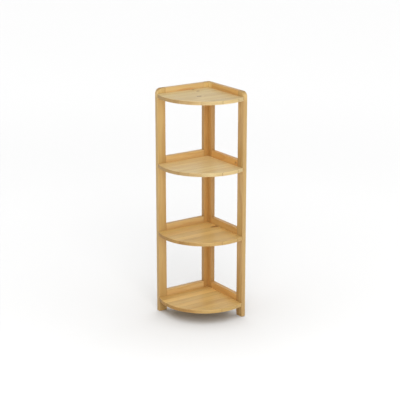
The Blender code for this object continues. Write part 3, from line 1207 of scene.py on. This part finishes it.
@dataclass
class ShelfPanels:
    """The four shelves, each glued up from staves and cut to a bowed front."""

    stave_width: float
    first_joint: float
    tones: tuple[tuple[float, ...], ...]
    seeds: tuple[int, ...]
    spread: float = 0.05
    pith_low: Place = (-0.016, -0.3, -0.075)
    pith_high: Place = (0.016, 0.3, -0.030)
    front_steps: int = 110
    easing: float = 0.0025
    easing_segments: int = 5

    def panel_tree(self) -> NodeTree:
        """The rule for a panel: a square inner corner, and one arc through both tips with the overhang.

        Returns:
            The geometry tree.
        """
        inputs = {
            "Geometry": "geometry",
            "Corner": "vector",
            "Inset": 0.0223,
            "Depth": 0.32,
            "Overhang": 0.015,
            "Thickness": 0.018,
            "Front Steps": 100,
        }
        graph = Graph.group("bowed_panel", "GeometryNodeTree", inputs, {"Geometry": "geometry"})
        inset, depth, over, steps = graph["Inset"], graph["Depth"], graph["Overhang"], graph["Front Steps"]
        spread = graph.math("SQRT", over * 2.0 * (over + depth - inset))
        middle = inset - over + spread
        radius = depth + over - middle
        back = graph.math("ARCTAN2", inset - middle, depth - middle)
        index = graph.take("GeometryNodeInputIndex")
        angle = back + (index - 1.0) / steps * (QUARTER_TURN - back * 2.0)
        is_corner = graph.math("LESS_THAN", index, 0.5)
        keep = 1.0 - is_corner
        inner = inset * is_corner
        across = (middle + radius * graph.math("COSINE", angle)) * keep + inner
        forward = (middle + radius * graph.math("SINE", angle)) * keep + inner
        ring = graph.take("GeometryNodeCurvePrimitiveCircle", {"Resolution": steps + 2.0})
        flat = graph.join(across, forward * -1.0)
        outline = graph.take("GeometryNodeSetPosition", {"Geometry": ring, "Position": flat})
        face = graph.take("GeometryNodeFillCurve", {0: outline}, mode="NGONS")
        lift = graph.join(z=graph["Thickness"])
        rise = {"Mesh": face, "Offset": lift, "Offset Scale": 1.0, "Individual": False}
        joined = graph.add("GeometryNodeJoinGeometry")
        graph.feed(joined.inputs[0], graph.take("GeometryNodeExtrudeMesh", rise, "Mesh"))
        graph.feed(joined.inputs[0], graph.take("GeometryNodeFlipFaces", {0: face}))
        closed = {"Geometry": graph.wrap(joined.outputs[0]), "Distance": MERGE}
        merged = graph.take("GeometryNodeMergeByDistance", closed)
        moved = {"Geometry": merged, "Translation": graph["Corner"]}
        graph.send_out(graph.take("GeometryNodeTransform", moved))
        return graph.tree

    def stave_tree(self) -> NodeTree:
        """The rule for the staves: each takes its own tone and its own place in the log.

        Returns:
            The geometry tree.
        """
        inputs = {
            "Geometry": "geometry",
            "First Joint": 0.0,
            "Stave Width": 0.05,
            "Level": 0.0,
            "Spread": 0.1,
            "Seed": 0,
            "Finish": "material",
        }
        graph = Graph.group("stave_layup", "GeometryNodeTree", inputs, {"Geometry": "geometry"})
        first, width, spread = graph["First Joint"], graph["Stave Width"], graph["Spread"]
        x, _, _ = graph.split(graph.take("GeometryNodeInputPosition"))
        stave = graph.math("FLOOR", (x - first) / width)
        draw = {"ID": stave, "Seed": graph["Seed"]}
        tones = {2: 1.0 - spread, 3: 1.0 + spread, **draw}
        tone = graph.take("FunctionNodeRandomValue", tones, 1, data_type="FLOAT")
        piths = {0: self.pith_low, 1: self.pith_high, **draw}
        offset = graph.take("FunctionNodeRandomValue", piths, data_type="FLOAT_VECTOR")
        pith = graph.join(first + (stave + 0.5) * width, z=graph["Level"]) + offset
        geometry = graph["Geometry"]
        for name, value, kind in (("tone", tone, "FLOAT"), ("pith", pith, "FLOAT_VECTOR")):
            stored = {"Geometry": geometry, "Name": name, "Value": value}
            geometry = graph.take("GeometryNodeStoreNamedAttribute", stored, data_type=kind, domain="FACE")
        graph.send_out(geometry, graph["Finish"])
        return graph.tree

    def make(self, workshop: Workshop, joinery: Joinery, finishes: tuple[Material, ...]) -> None:
        """Builds the shelves and hands them in.

        Args:
            workshop: What makes and hands in pieces.
            joinery: The sizes of the bores.
            finishes: The material of each shelf, bottom to top.
        """
        panel, staves = self.panel_tree(), self.stave_tree()
        frame_low, frame_high = corners("side_corner_stile")
        front_low, _ = corners("side_front_stile")
        corner = Vector((frame_low.x, frame_high.y, 0))
        depth = corner.y - front_low.y
        for level in range(1, SHELF_COUNT + 1):
            node, finish = f"shelf_{level}", finishes[level - 1]
            low, high = corners(node)
            corner.z = low.z
            values = {
                "Corner": tuple(corner),
                "Inset": low.x - corner.x,
                "Depth": depth,
                "Overhang": high.x - corner.x - depth,
                "Thickness": high.z - low.z,
                "Front Steps": self.front_steps,
            }
            blank = workshop.outward(workshop.run(panel, bpy.data.meshes.new(node), values))
            marks = [screw_mark(f"screw_{level}_{end}", node) for ends in SCREW_ENDS.values() for end in ends]
            cuts = [bores(node + "_pilots", marks, joinery.pilot_section())]
            mesh = workshop.plane(node, blank, self.easing, self.easing_segments, cuts)
            self.saw_joints(mesh, low.x, high.x)
            values = {
                "First Joint": self.first_joint,
                "Stave Width": self.stave_width,
                "Level": (low.z + high.z) / 2,
                "Spread": self.spread,
                "Seed": self.seeds[level - 1],
                "Finish": finish,
            }
            mesh = workshop.run(staves, mesh, values)
            self.retone(mesh, self.tones[level - 1])
            workshop.hand_in(node + "_panel", mesh, finish, [node])

    def saw_joints(self, mesh: Mesh, start: float, end: float) -> None:
        """Cuts the panel's faces along the joints between staves, so that each stave has faces of its own.

        Args:
            mesh: The panel.
            start: Its lowest X.
            end: Its highest X.
        """
        work = bmesh.new()
        work.from_mesh(mesh)
        joint = self.first_joint
        while joint < end:
            if joint > start + self.easing:
                parts = work.verts[:] + work.edges[:] + work.faces[:]
                place = (joint, 0, 0)
                bmesh.ops.bisect_plane(work, geom=parts, dist=MERGE, plane_co=place, plane_no=(1, 0, 0))
            joint += self.stave_width
        work.to_mesh(mesh)
        work.free()

    def retone(self, mesh: Mesh, tones: tuple[float, ...]) -> None:
        """Multiplies each stave's tone by the one chosen for it, from the side frame outwards.

        Args:
            mesh: The panel.
            tones: One factor for each stave.
        """
        values = mesh.attributes["tone"].data
        for face in mesh.polygons:
            stave = int((face.center.x - self.first_joint) // self.stave_width)
            values[face.index].value *= tones[min(max(stave, 0), len(tones) - 1)]


@dataclass
class TurnedHardware:
    """Fluted dowels and threaded screws, turned from half sections and set out in the frames."""

    screw_length: float = 0.050
    head_radius: float = 0.0048
    head_rim: float = 0.0008
    head_easing: float = 0.0002
    cone_end: float = 0.0042
    shoulder_radius: float = 0.0029
    shoulder_end: float = 0.020
    shoulder_easing: float = 0.0003
    core_radius: float = 0.0018
    core_lead: float = 0.0005
    thread_lead: float = 0.0008
    thread_depth: float = 0.0006
    thread_pitch: float = 0.0030
    thread_rows: int = 84
    thread_sharpness: float = 2.2
    tip_start: float = 0.047
    tip_radius: float = 0.0012
    socket_radius: float = 0.0023
    socket_depth: float = 0.0026
    dowel_radius: float = 0.004
    dowel_half: float = 0.020
    dowel_chamfer: float = 0.001
    dowel_knee: float = 0.35
    flutes: int = 12
    flute_depth: float = 0.00035
    smooth_angle: float = 42.0
    screw_sides: int = 18
    sides_to_a_flute: int = 4

    MARKINGS = ("fluted", "threaded", "six_sided")

    def turned_tree(self) -> NodeTree:
        """The rule for a turned piece: each row of a grid takes its radius and height from the half section.

        Returns:
            The geometry tree.
        """
        inputs = {
            "Geometry": "geometry",
            "Rows": 8,
            "Sides": 24,
            "Flutes": 0.0,
            "Flute Depth": 0.0,
            "Thread Pitch": 0.003,
            "Thread Depth": 0.0,
            "Finish": "material",
        }
        graph = Graph.group("turned_piece", "GeometryNodeTree", inputs, {"Geometry": "geometry"})
        rows = graph["Rows"]
        size = {"Size X": 1.0, "Size Y": 1.0, "Vertices X": graph["Sides"] + 1.0, "Vertices Y": rows}
        grid = graph.take("GeometryNodeMeshGrid", size)
        x, y, _ = graph.split(graph.take("GeometryNodeInputPosition"))
        part = x + 0.5
        row = graph.math("ROUND", (y + 0.5) * (rows - 1.0))
        point = self.sample(graph, graph.take("GeometryNodeInputPosition"), row, "FLOAT_VECTOR")
        radius, _, height = graph.split(point)
        named = [graph.named(label, "FLOAT") for label in self.MARKINGS]
        fluted, threaded, six_sided = [self.sample(graph, mark, row, "FLOAT") for mark in named]
        turn = part * FULL_TURN
        groove = (graph.math("COSINE", turn * graph["Flutes"]) * 0.5 + 0.5) * graph["Flute Depth"]
        climb = graph.math("FRACT", height / graph["Thread Pitch"] - part)
        crest = 1.0 - abs(climb * 2.0 - 1.0)
        thread = graph.math("POWER", crest, self.thread_sharpness) * graph["Thread Depth"]
        sixth = graph.math("MODULO", turn, math.pi / 3) - math.pi / 6
        flat = math.cos(math.pi / 6) / graph.math("COSINE", sixth)
        shaped = radius * (1.0 + six_sided * (flat - 1.0)) + thread * threaded - groove * fluted
        spun = graph.join(shaped * graph.math("COSINE", turn), shaped * graph.math("SINE", turn), height)
        moved = graph.take("GeometryNodeSetPosition", {"Geometry": grid, "Position": spun})
        merged = graph.take("GeometryNodeMergeByDistance", {"Geometry": moved, "Distance": MERGE})
        graph.send_out(merged, graph["Finish"])
        return graph.tree

    def sample(self, graph: Graph, value: Value, row: Number, kind: str) -> Value:
        """Reads a value of the half section at a row.

        Args:
            graph: The tree's graph.
            value: What is read.
            row: The row's number.
            kind: The value's data type.

        Returns:
            The value there.
        """
        inputs = {"Geometry": graph["Geometry"], "Value": value, "Index": row}
        return graph.take("GeometryNodeSampleIndex", inputs, data_type=kind, domain="POINT")

    def set_out_tree(self) -> NodeTree:
        """The rule for setting pieces out: one at each place, pointing the way that the place faces.

        Returns:
            The geometry tree.
        """
        inputs = {"Geometry": "geometry", "Piece": "object", "Finish": "material"}
        graph = Graph.group("set_out", "GeometryNodeTree", inputs, {"Geometry": "geometry"})
        piece = graph.take("GeometryNodeObjectInfo", {"Object": graph["Piece"]}, "Geometry")
        facing = graph.named("facing", "FLOAT_VECTOR")
        turn = graph.take("FunctionNodeAlignRotationToVector", {"Vector": facing}, axis="Z")
        placing = {"Points": graph["Geometry"], "Instance": piece, "Rotation": turn}
        graph.send_out(graph.take("GeometryNodeInstanceOnPoints", placing), graph["Finish"])
        return graph.tree

    def section_mesh(self, name: str, rows: list[Row]) -> Mesh:
        """The points of a half section, with their markings.

        Args:
            name: The mesh's name.
            rows: Radius, height and marking of each point.

        Returns:
            The mesh.
        """
        mesh = bpy.data.meshes.new(name)
        mesh.from_pydata([(radius, 0, height) for radius, height, _ in rows], [], [])
        for label in self.MARKINGS:
            marks = mesh.attributes.new(label, "FLOAT", "POINT")
            marks.data.foreach_set("value", [1.0 if mark == label else 0.0 for _, _, mark in rows])
        return mesh

    def screw_rows(self) -> list[Row]:
        """Half section of a screw, from the bottom of its socket round the head to the tip.

        Returns:
            The rows.
        """
        rim, step_in = self.head_easing, self.shoulder_easing
        rows = [
            (0.0, self.socket_depth, ""),
            (self.socket_radius, self.socket_depth, "six_sided"),
            (self.socket_radius, rim, "six_sided"),
            (self.socket_radius + rim, 0.0, "six_sided"),
            (self.head_radius - rim, 0.0, ""),
            (self.head_radius, rim, ""),
            (self.head_radius, self.head_rim, ""),
            (self.shoulder_radius, self.cone_end, ""),
            (self.shoulder_radius, self.shoulder_end - step_in, ""),
            (self.shoulder_radius - step_in, self.shoulder_end, ""),
            (self.core_radius, self.shoulder_end + self.core_lead, ""),
        ]
        start = self.shoulder_end + self.thread_lead
        pitch = (self.tip_start - start) / self.thread_rows
        rows += [(self.core_radius, start + pitch * step, "threaded") for step in range(self.thread_rows + 1)]
        return rows + [
            (self.tip_radius, self.screw_length - step_in, ""),
            (self.tip_radius - step_in, self.screw_length, ""),
            (0.0, self.screw_length, ""),
        ]

    def dowel_rows(self) -> list[Row]:
        """Half section of a dowel, end to end.

        Returns:
            The rows.
        """
        radius, half, chamfer = self.dowel_radius, self.dowel_half, self.dowel_chamfer
        knee = chamfer * self.dowel_knee
        rows = [
            (0.0, -half, ""),
            (radius - chamfer, -half, ""),
            (radius - knee, knee - half, ""),
            (radius, chamfer - half, ""),
            (radius, chamfer * 2 - half, "fluted"),
        ]
        return rows + [(around, -height, mark) for around, height, mark in reversed(rows)]

    def places(self, name: str, marks: list[Mark]) -> Mesh:
        """The points where pieces go, with the way that each faces.

        Args:
            name: The mesh's name.
            marks: Each piece's start and direction.

        Returns:
            The mesh of points.
        """
        mesh = bpy.data.meshes.new(name)
        mesh.from_pydata([tuple(start) for start, _ in marks], [], [])
        facing = mesh.attributes.new("facing", "FLOAT_VECTOR", "POINT")
        facing.data.foreach_set("vector", [value for _, way in marks for value in way])
        return mesh

    def make(self, workshop: Workshop, steel: Material, beech: Material) -> None:
        """Turns the screws and dowels and hands them in.

        Args:
            workshop: What makes and hands in pieces.
            steel: The screws' material.
            beech: The dowels' material.
        """
        turned, set_out = self.turned_tree(), self.set_out_tree()
        pitch, depth = self.thread_pitch, self.thread_depth
        thread = {"Sides": self.screw_sides, "Thread Pitch": pitch, "Thread Depth": depth}
        sides = self.flutes * self.sides_to_a_flute
        flutes = {"Sides": sides, "Flutes": float(self.flutes), "Flute Depth": self.flute_depth}
        kinds = (
            ("screw", "screw_zinc", steel, self.screw_rows(), thread),
            ("dowel", "dowel_beech", beech, self.dowel_rows(), flutes),
        )
        for label, slot, finish, rows, values in kinds:
            section = self.section_mesh(label + "_section", rows)
            inputs = {**values, "Finish": finish, "Rows": len(rows)}
            pattern = workshop.outward(workshop.run(turned, section, inputs))
            model = workshop.hold(label + "_pattern", workshop.smooth(pattern, self.smooth_angle))
            for side in Side:
                nodes = self.nodes(label, side)
                marks = [self.mark(node, side) for node in nodes]
                places = self.places(f"{side.value}_{label}_places", marks)
                mesh = workshop.run(set_out, places, {"Piece": model, "Finish": finish})
                workshop.hand_in(f"{side.value}_{label}s", mesh, finish, nodes)
            bpy.data.objects.remove(model)

    def nodes(self, label: str, side: Side) -> list[str]:
        """Finds the solids of one kind in one frame.

        Args:
            label: The kind of piece.
            side: The frame.

        Returns:
            Their names.
        """
        if label == "screw":
            return [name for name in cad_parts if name.startswith("screw_") and f"_{side.value}" in name]
        return [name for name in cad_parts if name.startswith(f"{side.value}_") and "_dowel_" in name]

    def mark(self, node: str, side: Side) -> Mark:
        """Where a piece starts and which way it points.

        Args:
            node: The piece's solid.
            side: Its frame.

        Returns:
            The start and the direction.
        """
        if node.startswith("screw_"):
            return screw_mark(node, node)
        low, high = corners(node)
        return (low + high) / 2, Vector((0, 1, 0)) if side is Side.SIDE else Vector((1, 0, 0))


@dataclass(frozen=True)
class Lamp:
    """A square soft lamp that points at the middle of the shelf."""

    name: str
    place: Place
    size: float
    power: float


@dataclass
class Studio:
    """The floor, the lamps, the world and the camera."""

    lens: float = 112.73
    sensor: float = 36.0
    view_reach: float = 200.0
    camera_place: Place = (4.8695, -3.3398, 2.3756)
    camera_aim: Place = (-0.7900, 0.5414, -0.2879)
    floor_half: float = 40.0
    daylight: float = 0.52
    floor_glow: tuple[Place, Place] = ((0.3, 2.5, 0.085), (2.5, 6.0, 0.050))
    floor_white: Colour = (0.45, 0.45, 0.45, 1.0)
    floor_sun: float = 4.4
    floor_sun_angle: float = 1.8
    floor_sun_aim: Place = (0.60, -0.47, -3.0)
    lamp_target: Place = (0.0, 0.0, 0.6)
    lamps: tuple[Lamp, ...] = (
        Lamp("key_lamp", (2.9, -1.5, 2.9), 2.0, 42.0),
        Lamp("front_lamp", (4.3, -2.1, 1.2), 3.0, 74.0),
    )

    def make(self) -> None:
        """Sets up everything round the object."""
        self.add_camera()
        self.add_world()
        self.add_floor()
        for lamp in self.lamps:
            self.hang(lamp)
        bpy.context.scene.view_settings.view_transform = "Standard"

    def stand(self, name: str, data: bpy.types.ID, place: Place, way: Place | Vector) -> Object:
        """Puts a camera or a lamp in the scene.

        Args:
            name: Its name.
            data: The camera or light.
            place: Where it stands.
            way: The way that it points.

        Returns:
            The new object.
        """
        thing = bpy.data.objects.new(name, data)
        thing.location = place
        thing.rotation_euler = Vector(way).to_track_quat("-Z", "Y").to_euler()
        bpy.context.scene.collection.objects.link(thing)
        return thing

    def add_camera(self) -> None:
        """Stands the camera at the height and angle of the view."""
        data = bpy.data.cameras.new("view")
        data.lens = self.lens
        data.sensor_width = self.sensor
        data.clip_end = self.view_reach
        bpy.context.scene.camera = self.stand("view", data, self.camera_place, self.camera_aim)

    def seen(self, graph: Graph) -> Number:
        """The mask of the rays that show the surroundings: from the camera, in gloss and through glass.

        Args:
            graph: The shader's graph.

        Returns:
            1 for such a ray, and 0 for any other.
        """
        path = graph.add("ShaderNodeLightPath").outputs
        kinds = ("Camera", "Glossy", "Transmission")
        camera, gloss, glass = [graph.wrap(path[f"Is {kind} Ray"]) for kind in kinds]
        return graph.math("MAXIMUM", graph.math("MAXIMUM", camera, gloss), glass)

    def add_world(self) -> None:
        """Even daylight that looks white behind the object."""
        world = bpy.data.worlds.new("daylight")
        world.use_nodes = True
        bpy.context.scene.world = world
        graph = Graph(world.node_tree)
        light = world.node_tree.nodes["Background"]
        light.inputs["Color"].default_value = WHITE
        light.inputs["Strength"].default_value = self.daylight
        backdrop = graph.take("ShaderNodeBackground", {"Color": WHITE, "Strength": 1.0})
        shades = {0: self.seen(graph), 1: graph.wrap(light.outputs[0]), 2: backdrop}
        mixed = graph.take("ShaderNodeMixShader", shades)
        graph.feed(world.node_tree.nodes["World Output"].inputs["Surface"], mixed)

    def add_floor(self) -> None:
        """A pale floor that keeps the object's shadow."""
        half = self.floor_half
        square = [(-half, -half, 0), (half, -half, 0), (half, half, 0), (-half, half, 0)]
        mesh = bpy.data.meshes.new("floor")
        mesh.from_pydata(square, [], [(0, 1, 2, 3)])
        material = bpy.data.materials.new("pale_floor")
        material.use_nodes = True
        graph = Graph(material.node_tree)
        material.node_tree.nodes.remove(material.node_tree.nodes["Principled BSDF"])
        matt = graph.take("ShaderNodeBsdfDiffuse", {"Color": self.floor_white})
        reach = graph.take("ShaderNodeTexCoord", output="Object").length()
        rises = [graph.ramp(reach, near, far, 0.0, most) for near, far, most in self.floor_glow]
        strength = self.seen(graph) * (rises[0] + rises[1])
        glow = graph.take("ShaderNodeEmission", {"Color": WHITE, "Strength": strength})
        lit = graph.take("ShaderNodeAddShader", {0: matt, 1: glow})
        graph.feed(material.node_tree.nodes["Material Output"].inputs["Surface"], lit)
        mesh.materials.append(material)
        floor = bpy.data.objects.new("floor", mesh)
        bpy.context.scene.collection.objects.link(floor)
        self.add_floor_sun(floor)

    def add_floor_sun(self, floor: Object) -> None:
        """A wide sun that reaches only the floor, so that the object's soft shadow shows on it.

        Args:
            floor: The floor.
        """
        data = bpy.data.lights.new("floor_sun", "SUN")
        data.energy = self.floor_sun
        data.angle = self.floor_sun_angle
        sun = self.stand("floor_sun", data, (0, 0, 0), self.floor_sun_aim)
        lit = bpy.data.collections.new("lit_by_floor_sun")
        lit.objects.link(floor)
        sun.light_linking.receiver_collection = lit

    def hang(self, lamp: Lamp) -> None:
        """Hangs a lamp that lights the object without showing in the picture.

        Args:
            lamp: Its name, place, size and power.
        """
        data = bpy.data.lights.new(lamp.name, "AREA")
        data.size = lamp.size
        data.energy = lamp.power
        light = self.stand(lamp.name, data, lamp.place, Vector(self.lamp_target) - Vector(lamp.place))
        light.visible_camera = False


STAVE_WIDTH = 0.044
FIRST_JOINT = -0.1452

FRONT_STILE = PineFinish(
    name="lacquered_front_stile",
    grain=Grain.UPRIGHT,
    pale=paint(194, 161, 101),
    dark=paint(165, 119, 60),
    ring_spacing=0.0052,
    ring_strength=0.40,
    band_strength=0.34,
    end=paint(222, 204, 176),
    # Painted top light above the top shelf.
    painted_top_light=(1.27, 1.36, 1.50),
)

CORNER_STILE = PineFinish(
    name="lacquered_corner_stile",
    grain=Grain.UPRIGHT,
    pale=paint(196, 151, 85),
    dark=paint(168, 114, 52),
    ring_spacing=0.0050,
    ring_strength=0.26,
    band_strength=0.22,
    end=paint(214, 190, 160),
    # Painted top light above the top shelf, stronger on the corner post.
    painted_top_light=(1.57, 2.14, 3.10),
    knots=(
        Knot((-0.1300, 0.1675, 0.905), 0.0046, (0, 1, 0), 1.4, 0.010),
        Knot((-0.1675, 0.1420, 0.268), 0.0042, (1, 0, 0), 1.5, 0.010),
    ),
)

SIDE_RAIL = PineFinish(
    name="lacquered_side_rail",
    grain=Grain.ALONG_SIDE,
    pale=paint(219, 186, 126),
    dark=paint(188, 138, 74),
    ring_spacing=0.0056,
    ring_strength=0.42,
    band_strength=0.38,
    knots=(Knot((-0.1675, -0.0420, 0.787), 0.0045, (1, 0, 0), 1.5, 0.010),),
    streaks=(Streak((-0.1455, 0.012, 1.1285), 0.062, 0.0070),),
    red=paint(196, 128, 66),
)

REAR_RAIL = replace(
    SIDE_RAIL,
    name="lacquered_rear_rail",
    grain=Grain.ALONG_REAR,
    pale=paint(222, 178, 106),
    dark=paint(188, 130, 61),
    heart=paint(156, 100, 46),
    rim=paint(118, 70, 28),
    knots=(
        Knot((0.0931, 0.1455, 0.7885), 0.0040, (0, 1, 0), 1.3),
        Knot((-0.0200, 0.1675, 1.1240), 0.0040, (0, 1, 0), 1.5, 0.010),
    ),
    streaks=(),
)

# Painted light: the upper shelves take paler, less saturated wood and the lower shelves darker, warmer wood,
# as light from above would make them; each copy also has knots of its own.
UPPER_SHELF_PAINTED_LIGHTER = PineFinish(
    name="lacquered_upper_shelf",
    grain=Grain.ALONG_SIDE,
    pale=paint(240, 217, 161),
    dark=paint(211, 173, 107),
    ring_spacing=0.0060,
    ring_strength=0.34,
    band_strength=0.36,
    bowed=True,
    heart=paint(148, 98, 30),
    rim=paint(116, 70, 16),
    # The shelves' end grain is darker partly because end grain is darker, and partly as painted shade on the
    # shelf ends.
    end=paint(200, 178, 158),
    # Painted shade on the shelves' upright fronts.
    painted_front_shade=paint(225, 222, 215),
    first_joint=FIRST_JOINT,
    stave_width=STAVE_WIDTH,
    knots=(
        Knot((-0.1321, 0.0456, 1.125), 0.0047, (0, 0, 1), 1.5, 0.020),
        Knot((-0.0902, 0.0473, 1.125), 0.0058, (0, 0, 1), 1.4, 0.020),
        Knot((0.0132, -0.0169, 1.125), 0.0068, (0, 0, 1), 1.6, 0.020),
        Knot((-0.0900, -0.0700, 0.757), 0.0055, (0, 0, 1), 1.4, 0.012),
    ),
)

LOWER_SHELF_PAINTED_DARKER = replace(
    UPPER_SHELF_PAINTED_LIGHTER,
    name="lacquered_lower_shelf",
    pale=paint(228, 193, 121),
    dark=paint(198, 150, 79),
    band_strength=0.34,
    heart=paint(136, 74, 16),
    rim=paint(106, 58, 12),
    knots=(
        Knot((-0.057, 0.1357, 0.425), 0.0088, (0, 0, 1), 3.2, 0.020),
        Knot((0.0700, 0.0450, 0.407), 0.0050, (0, 0, 1), 1.5, 0.012),
    ),
)


def frames() -> list[LadderFrame]:
    """The two frames, with each board's own tone and place in the log.

    Returns:
        The side frame and the rear frame.
    """
    side = [
        Board("side_front_stile", Side.SIDE, 1.0, (0.012, -0.070), rounded_top=True),
        # This corner stile's narrow edge faces carry painted shade.
        Board("side_corner_stile", Side.SIDE, 0.97, (-0.010, -0.095), painted_edge_shade=0.84),
        Board("side_rail_1", Side.SIDE, 0.99, (0.008, -0.060)),
        Board("side_rail_2", Side.SIDE, 0.94, (-0.012, -0.085)),
        Board("side_rail_3", Side.SIDE, 1.02, (0.006, -0.075)),
        Board("side_rail_4", Side.SIDE, 1.08, (0.014, -0.065)),
    ]
    rear = [
        # This corner stile's narrow edge faces carry painted shade.
        Board("rear_corner_stile", Side.REAR, 1.02, (0.016, 0.080), painted_edge_shade=0.80),
        Board("rear_front_stile", Side.REAR, 0.98, (-0.010, 0.090), rounded_top=True),
        Board("rear_rail_1", Side.REAR, 0.98, (0.010, 0.070)),
        Board("rear_rail_2", Side.REAR, 0.90, (-0.008, 0.062)),
        Board("rear_rail_3", Side.REAR, 1.11, (0.012, 0.088)),
        Board("rear_rail_4", Side.REAR, 1.03, (-0.012, 0.072)),
    ]
    return [LadderFrame(Side.SIDE, side), LadderFrame(Side.REAR, rear)]


def main() -> None:
    """Builds the dressed shelf and the studio round it."""
    logging.basicConfig(level=logging.INFO, format="%(message)s")
    workshop, effects, joinery = Workshop(), WoodEffects(), Joinery()
    stiles = {"front": FRONT_STILE.make(effects), "corner": CORNER_STILE.make(effects)}
    rails = {Side.SIDE: SIDE_RAIL.make(effects), Side.REAR: REAR_RAIL.make(effects)}
    for ladder in frames():
        ladder.make(workshop, joinery, stiles, rails[ladder.side])
    # Painted light: the lower two shelves take the darker copy of the shelf finish and the upper two the
    # paler one.
    lower, upper = LOWER_SHELF_PAINTED_DARKER.make(effects), UPPER_SHELF_PAINTED_LIGHTER.make(effects)
    panels = ShelfPanels(
        stave_width=STAVE_WIDTH,
        first_joint=FIRST_JOINT,
        tones=(
            (0.95, 1.20, 0.94, 1.04, 0.97, 1.0, 0.97, 1.0),
            (0.98, 1.03, 0.97, 1.02, 0.98, 1.01, 0.99, 1.0),
            (1.02, 1.05, 0.98, 1.03, 1.0, 1.03, 0.98, 1.0),
            (1.0, 1.04, 0.99, 1.03, 1.0, 1.02, 0.98, 1.0),
        ),
        seeds=(11, 23, 37, 41),
    )
    panels.make(workshop, joinery, (lower, lower, upper, upper))
    TurnedHardware().make(workshop, ZincFinish().make(effects), BeechFinish().make(effects))
    Studio().make()


if __name__ == "__main__":
    main()
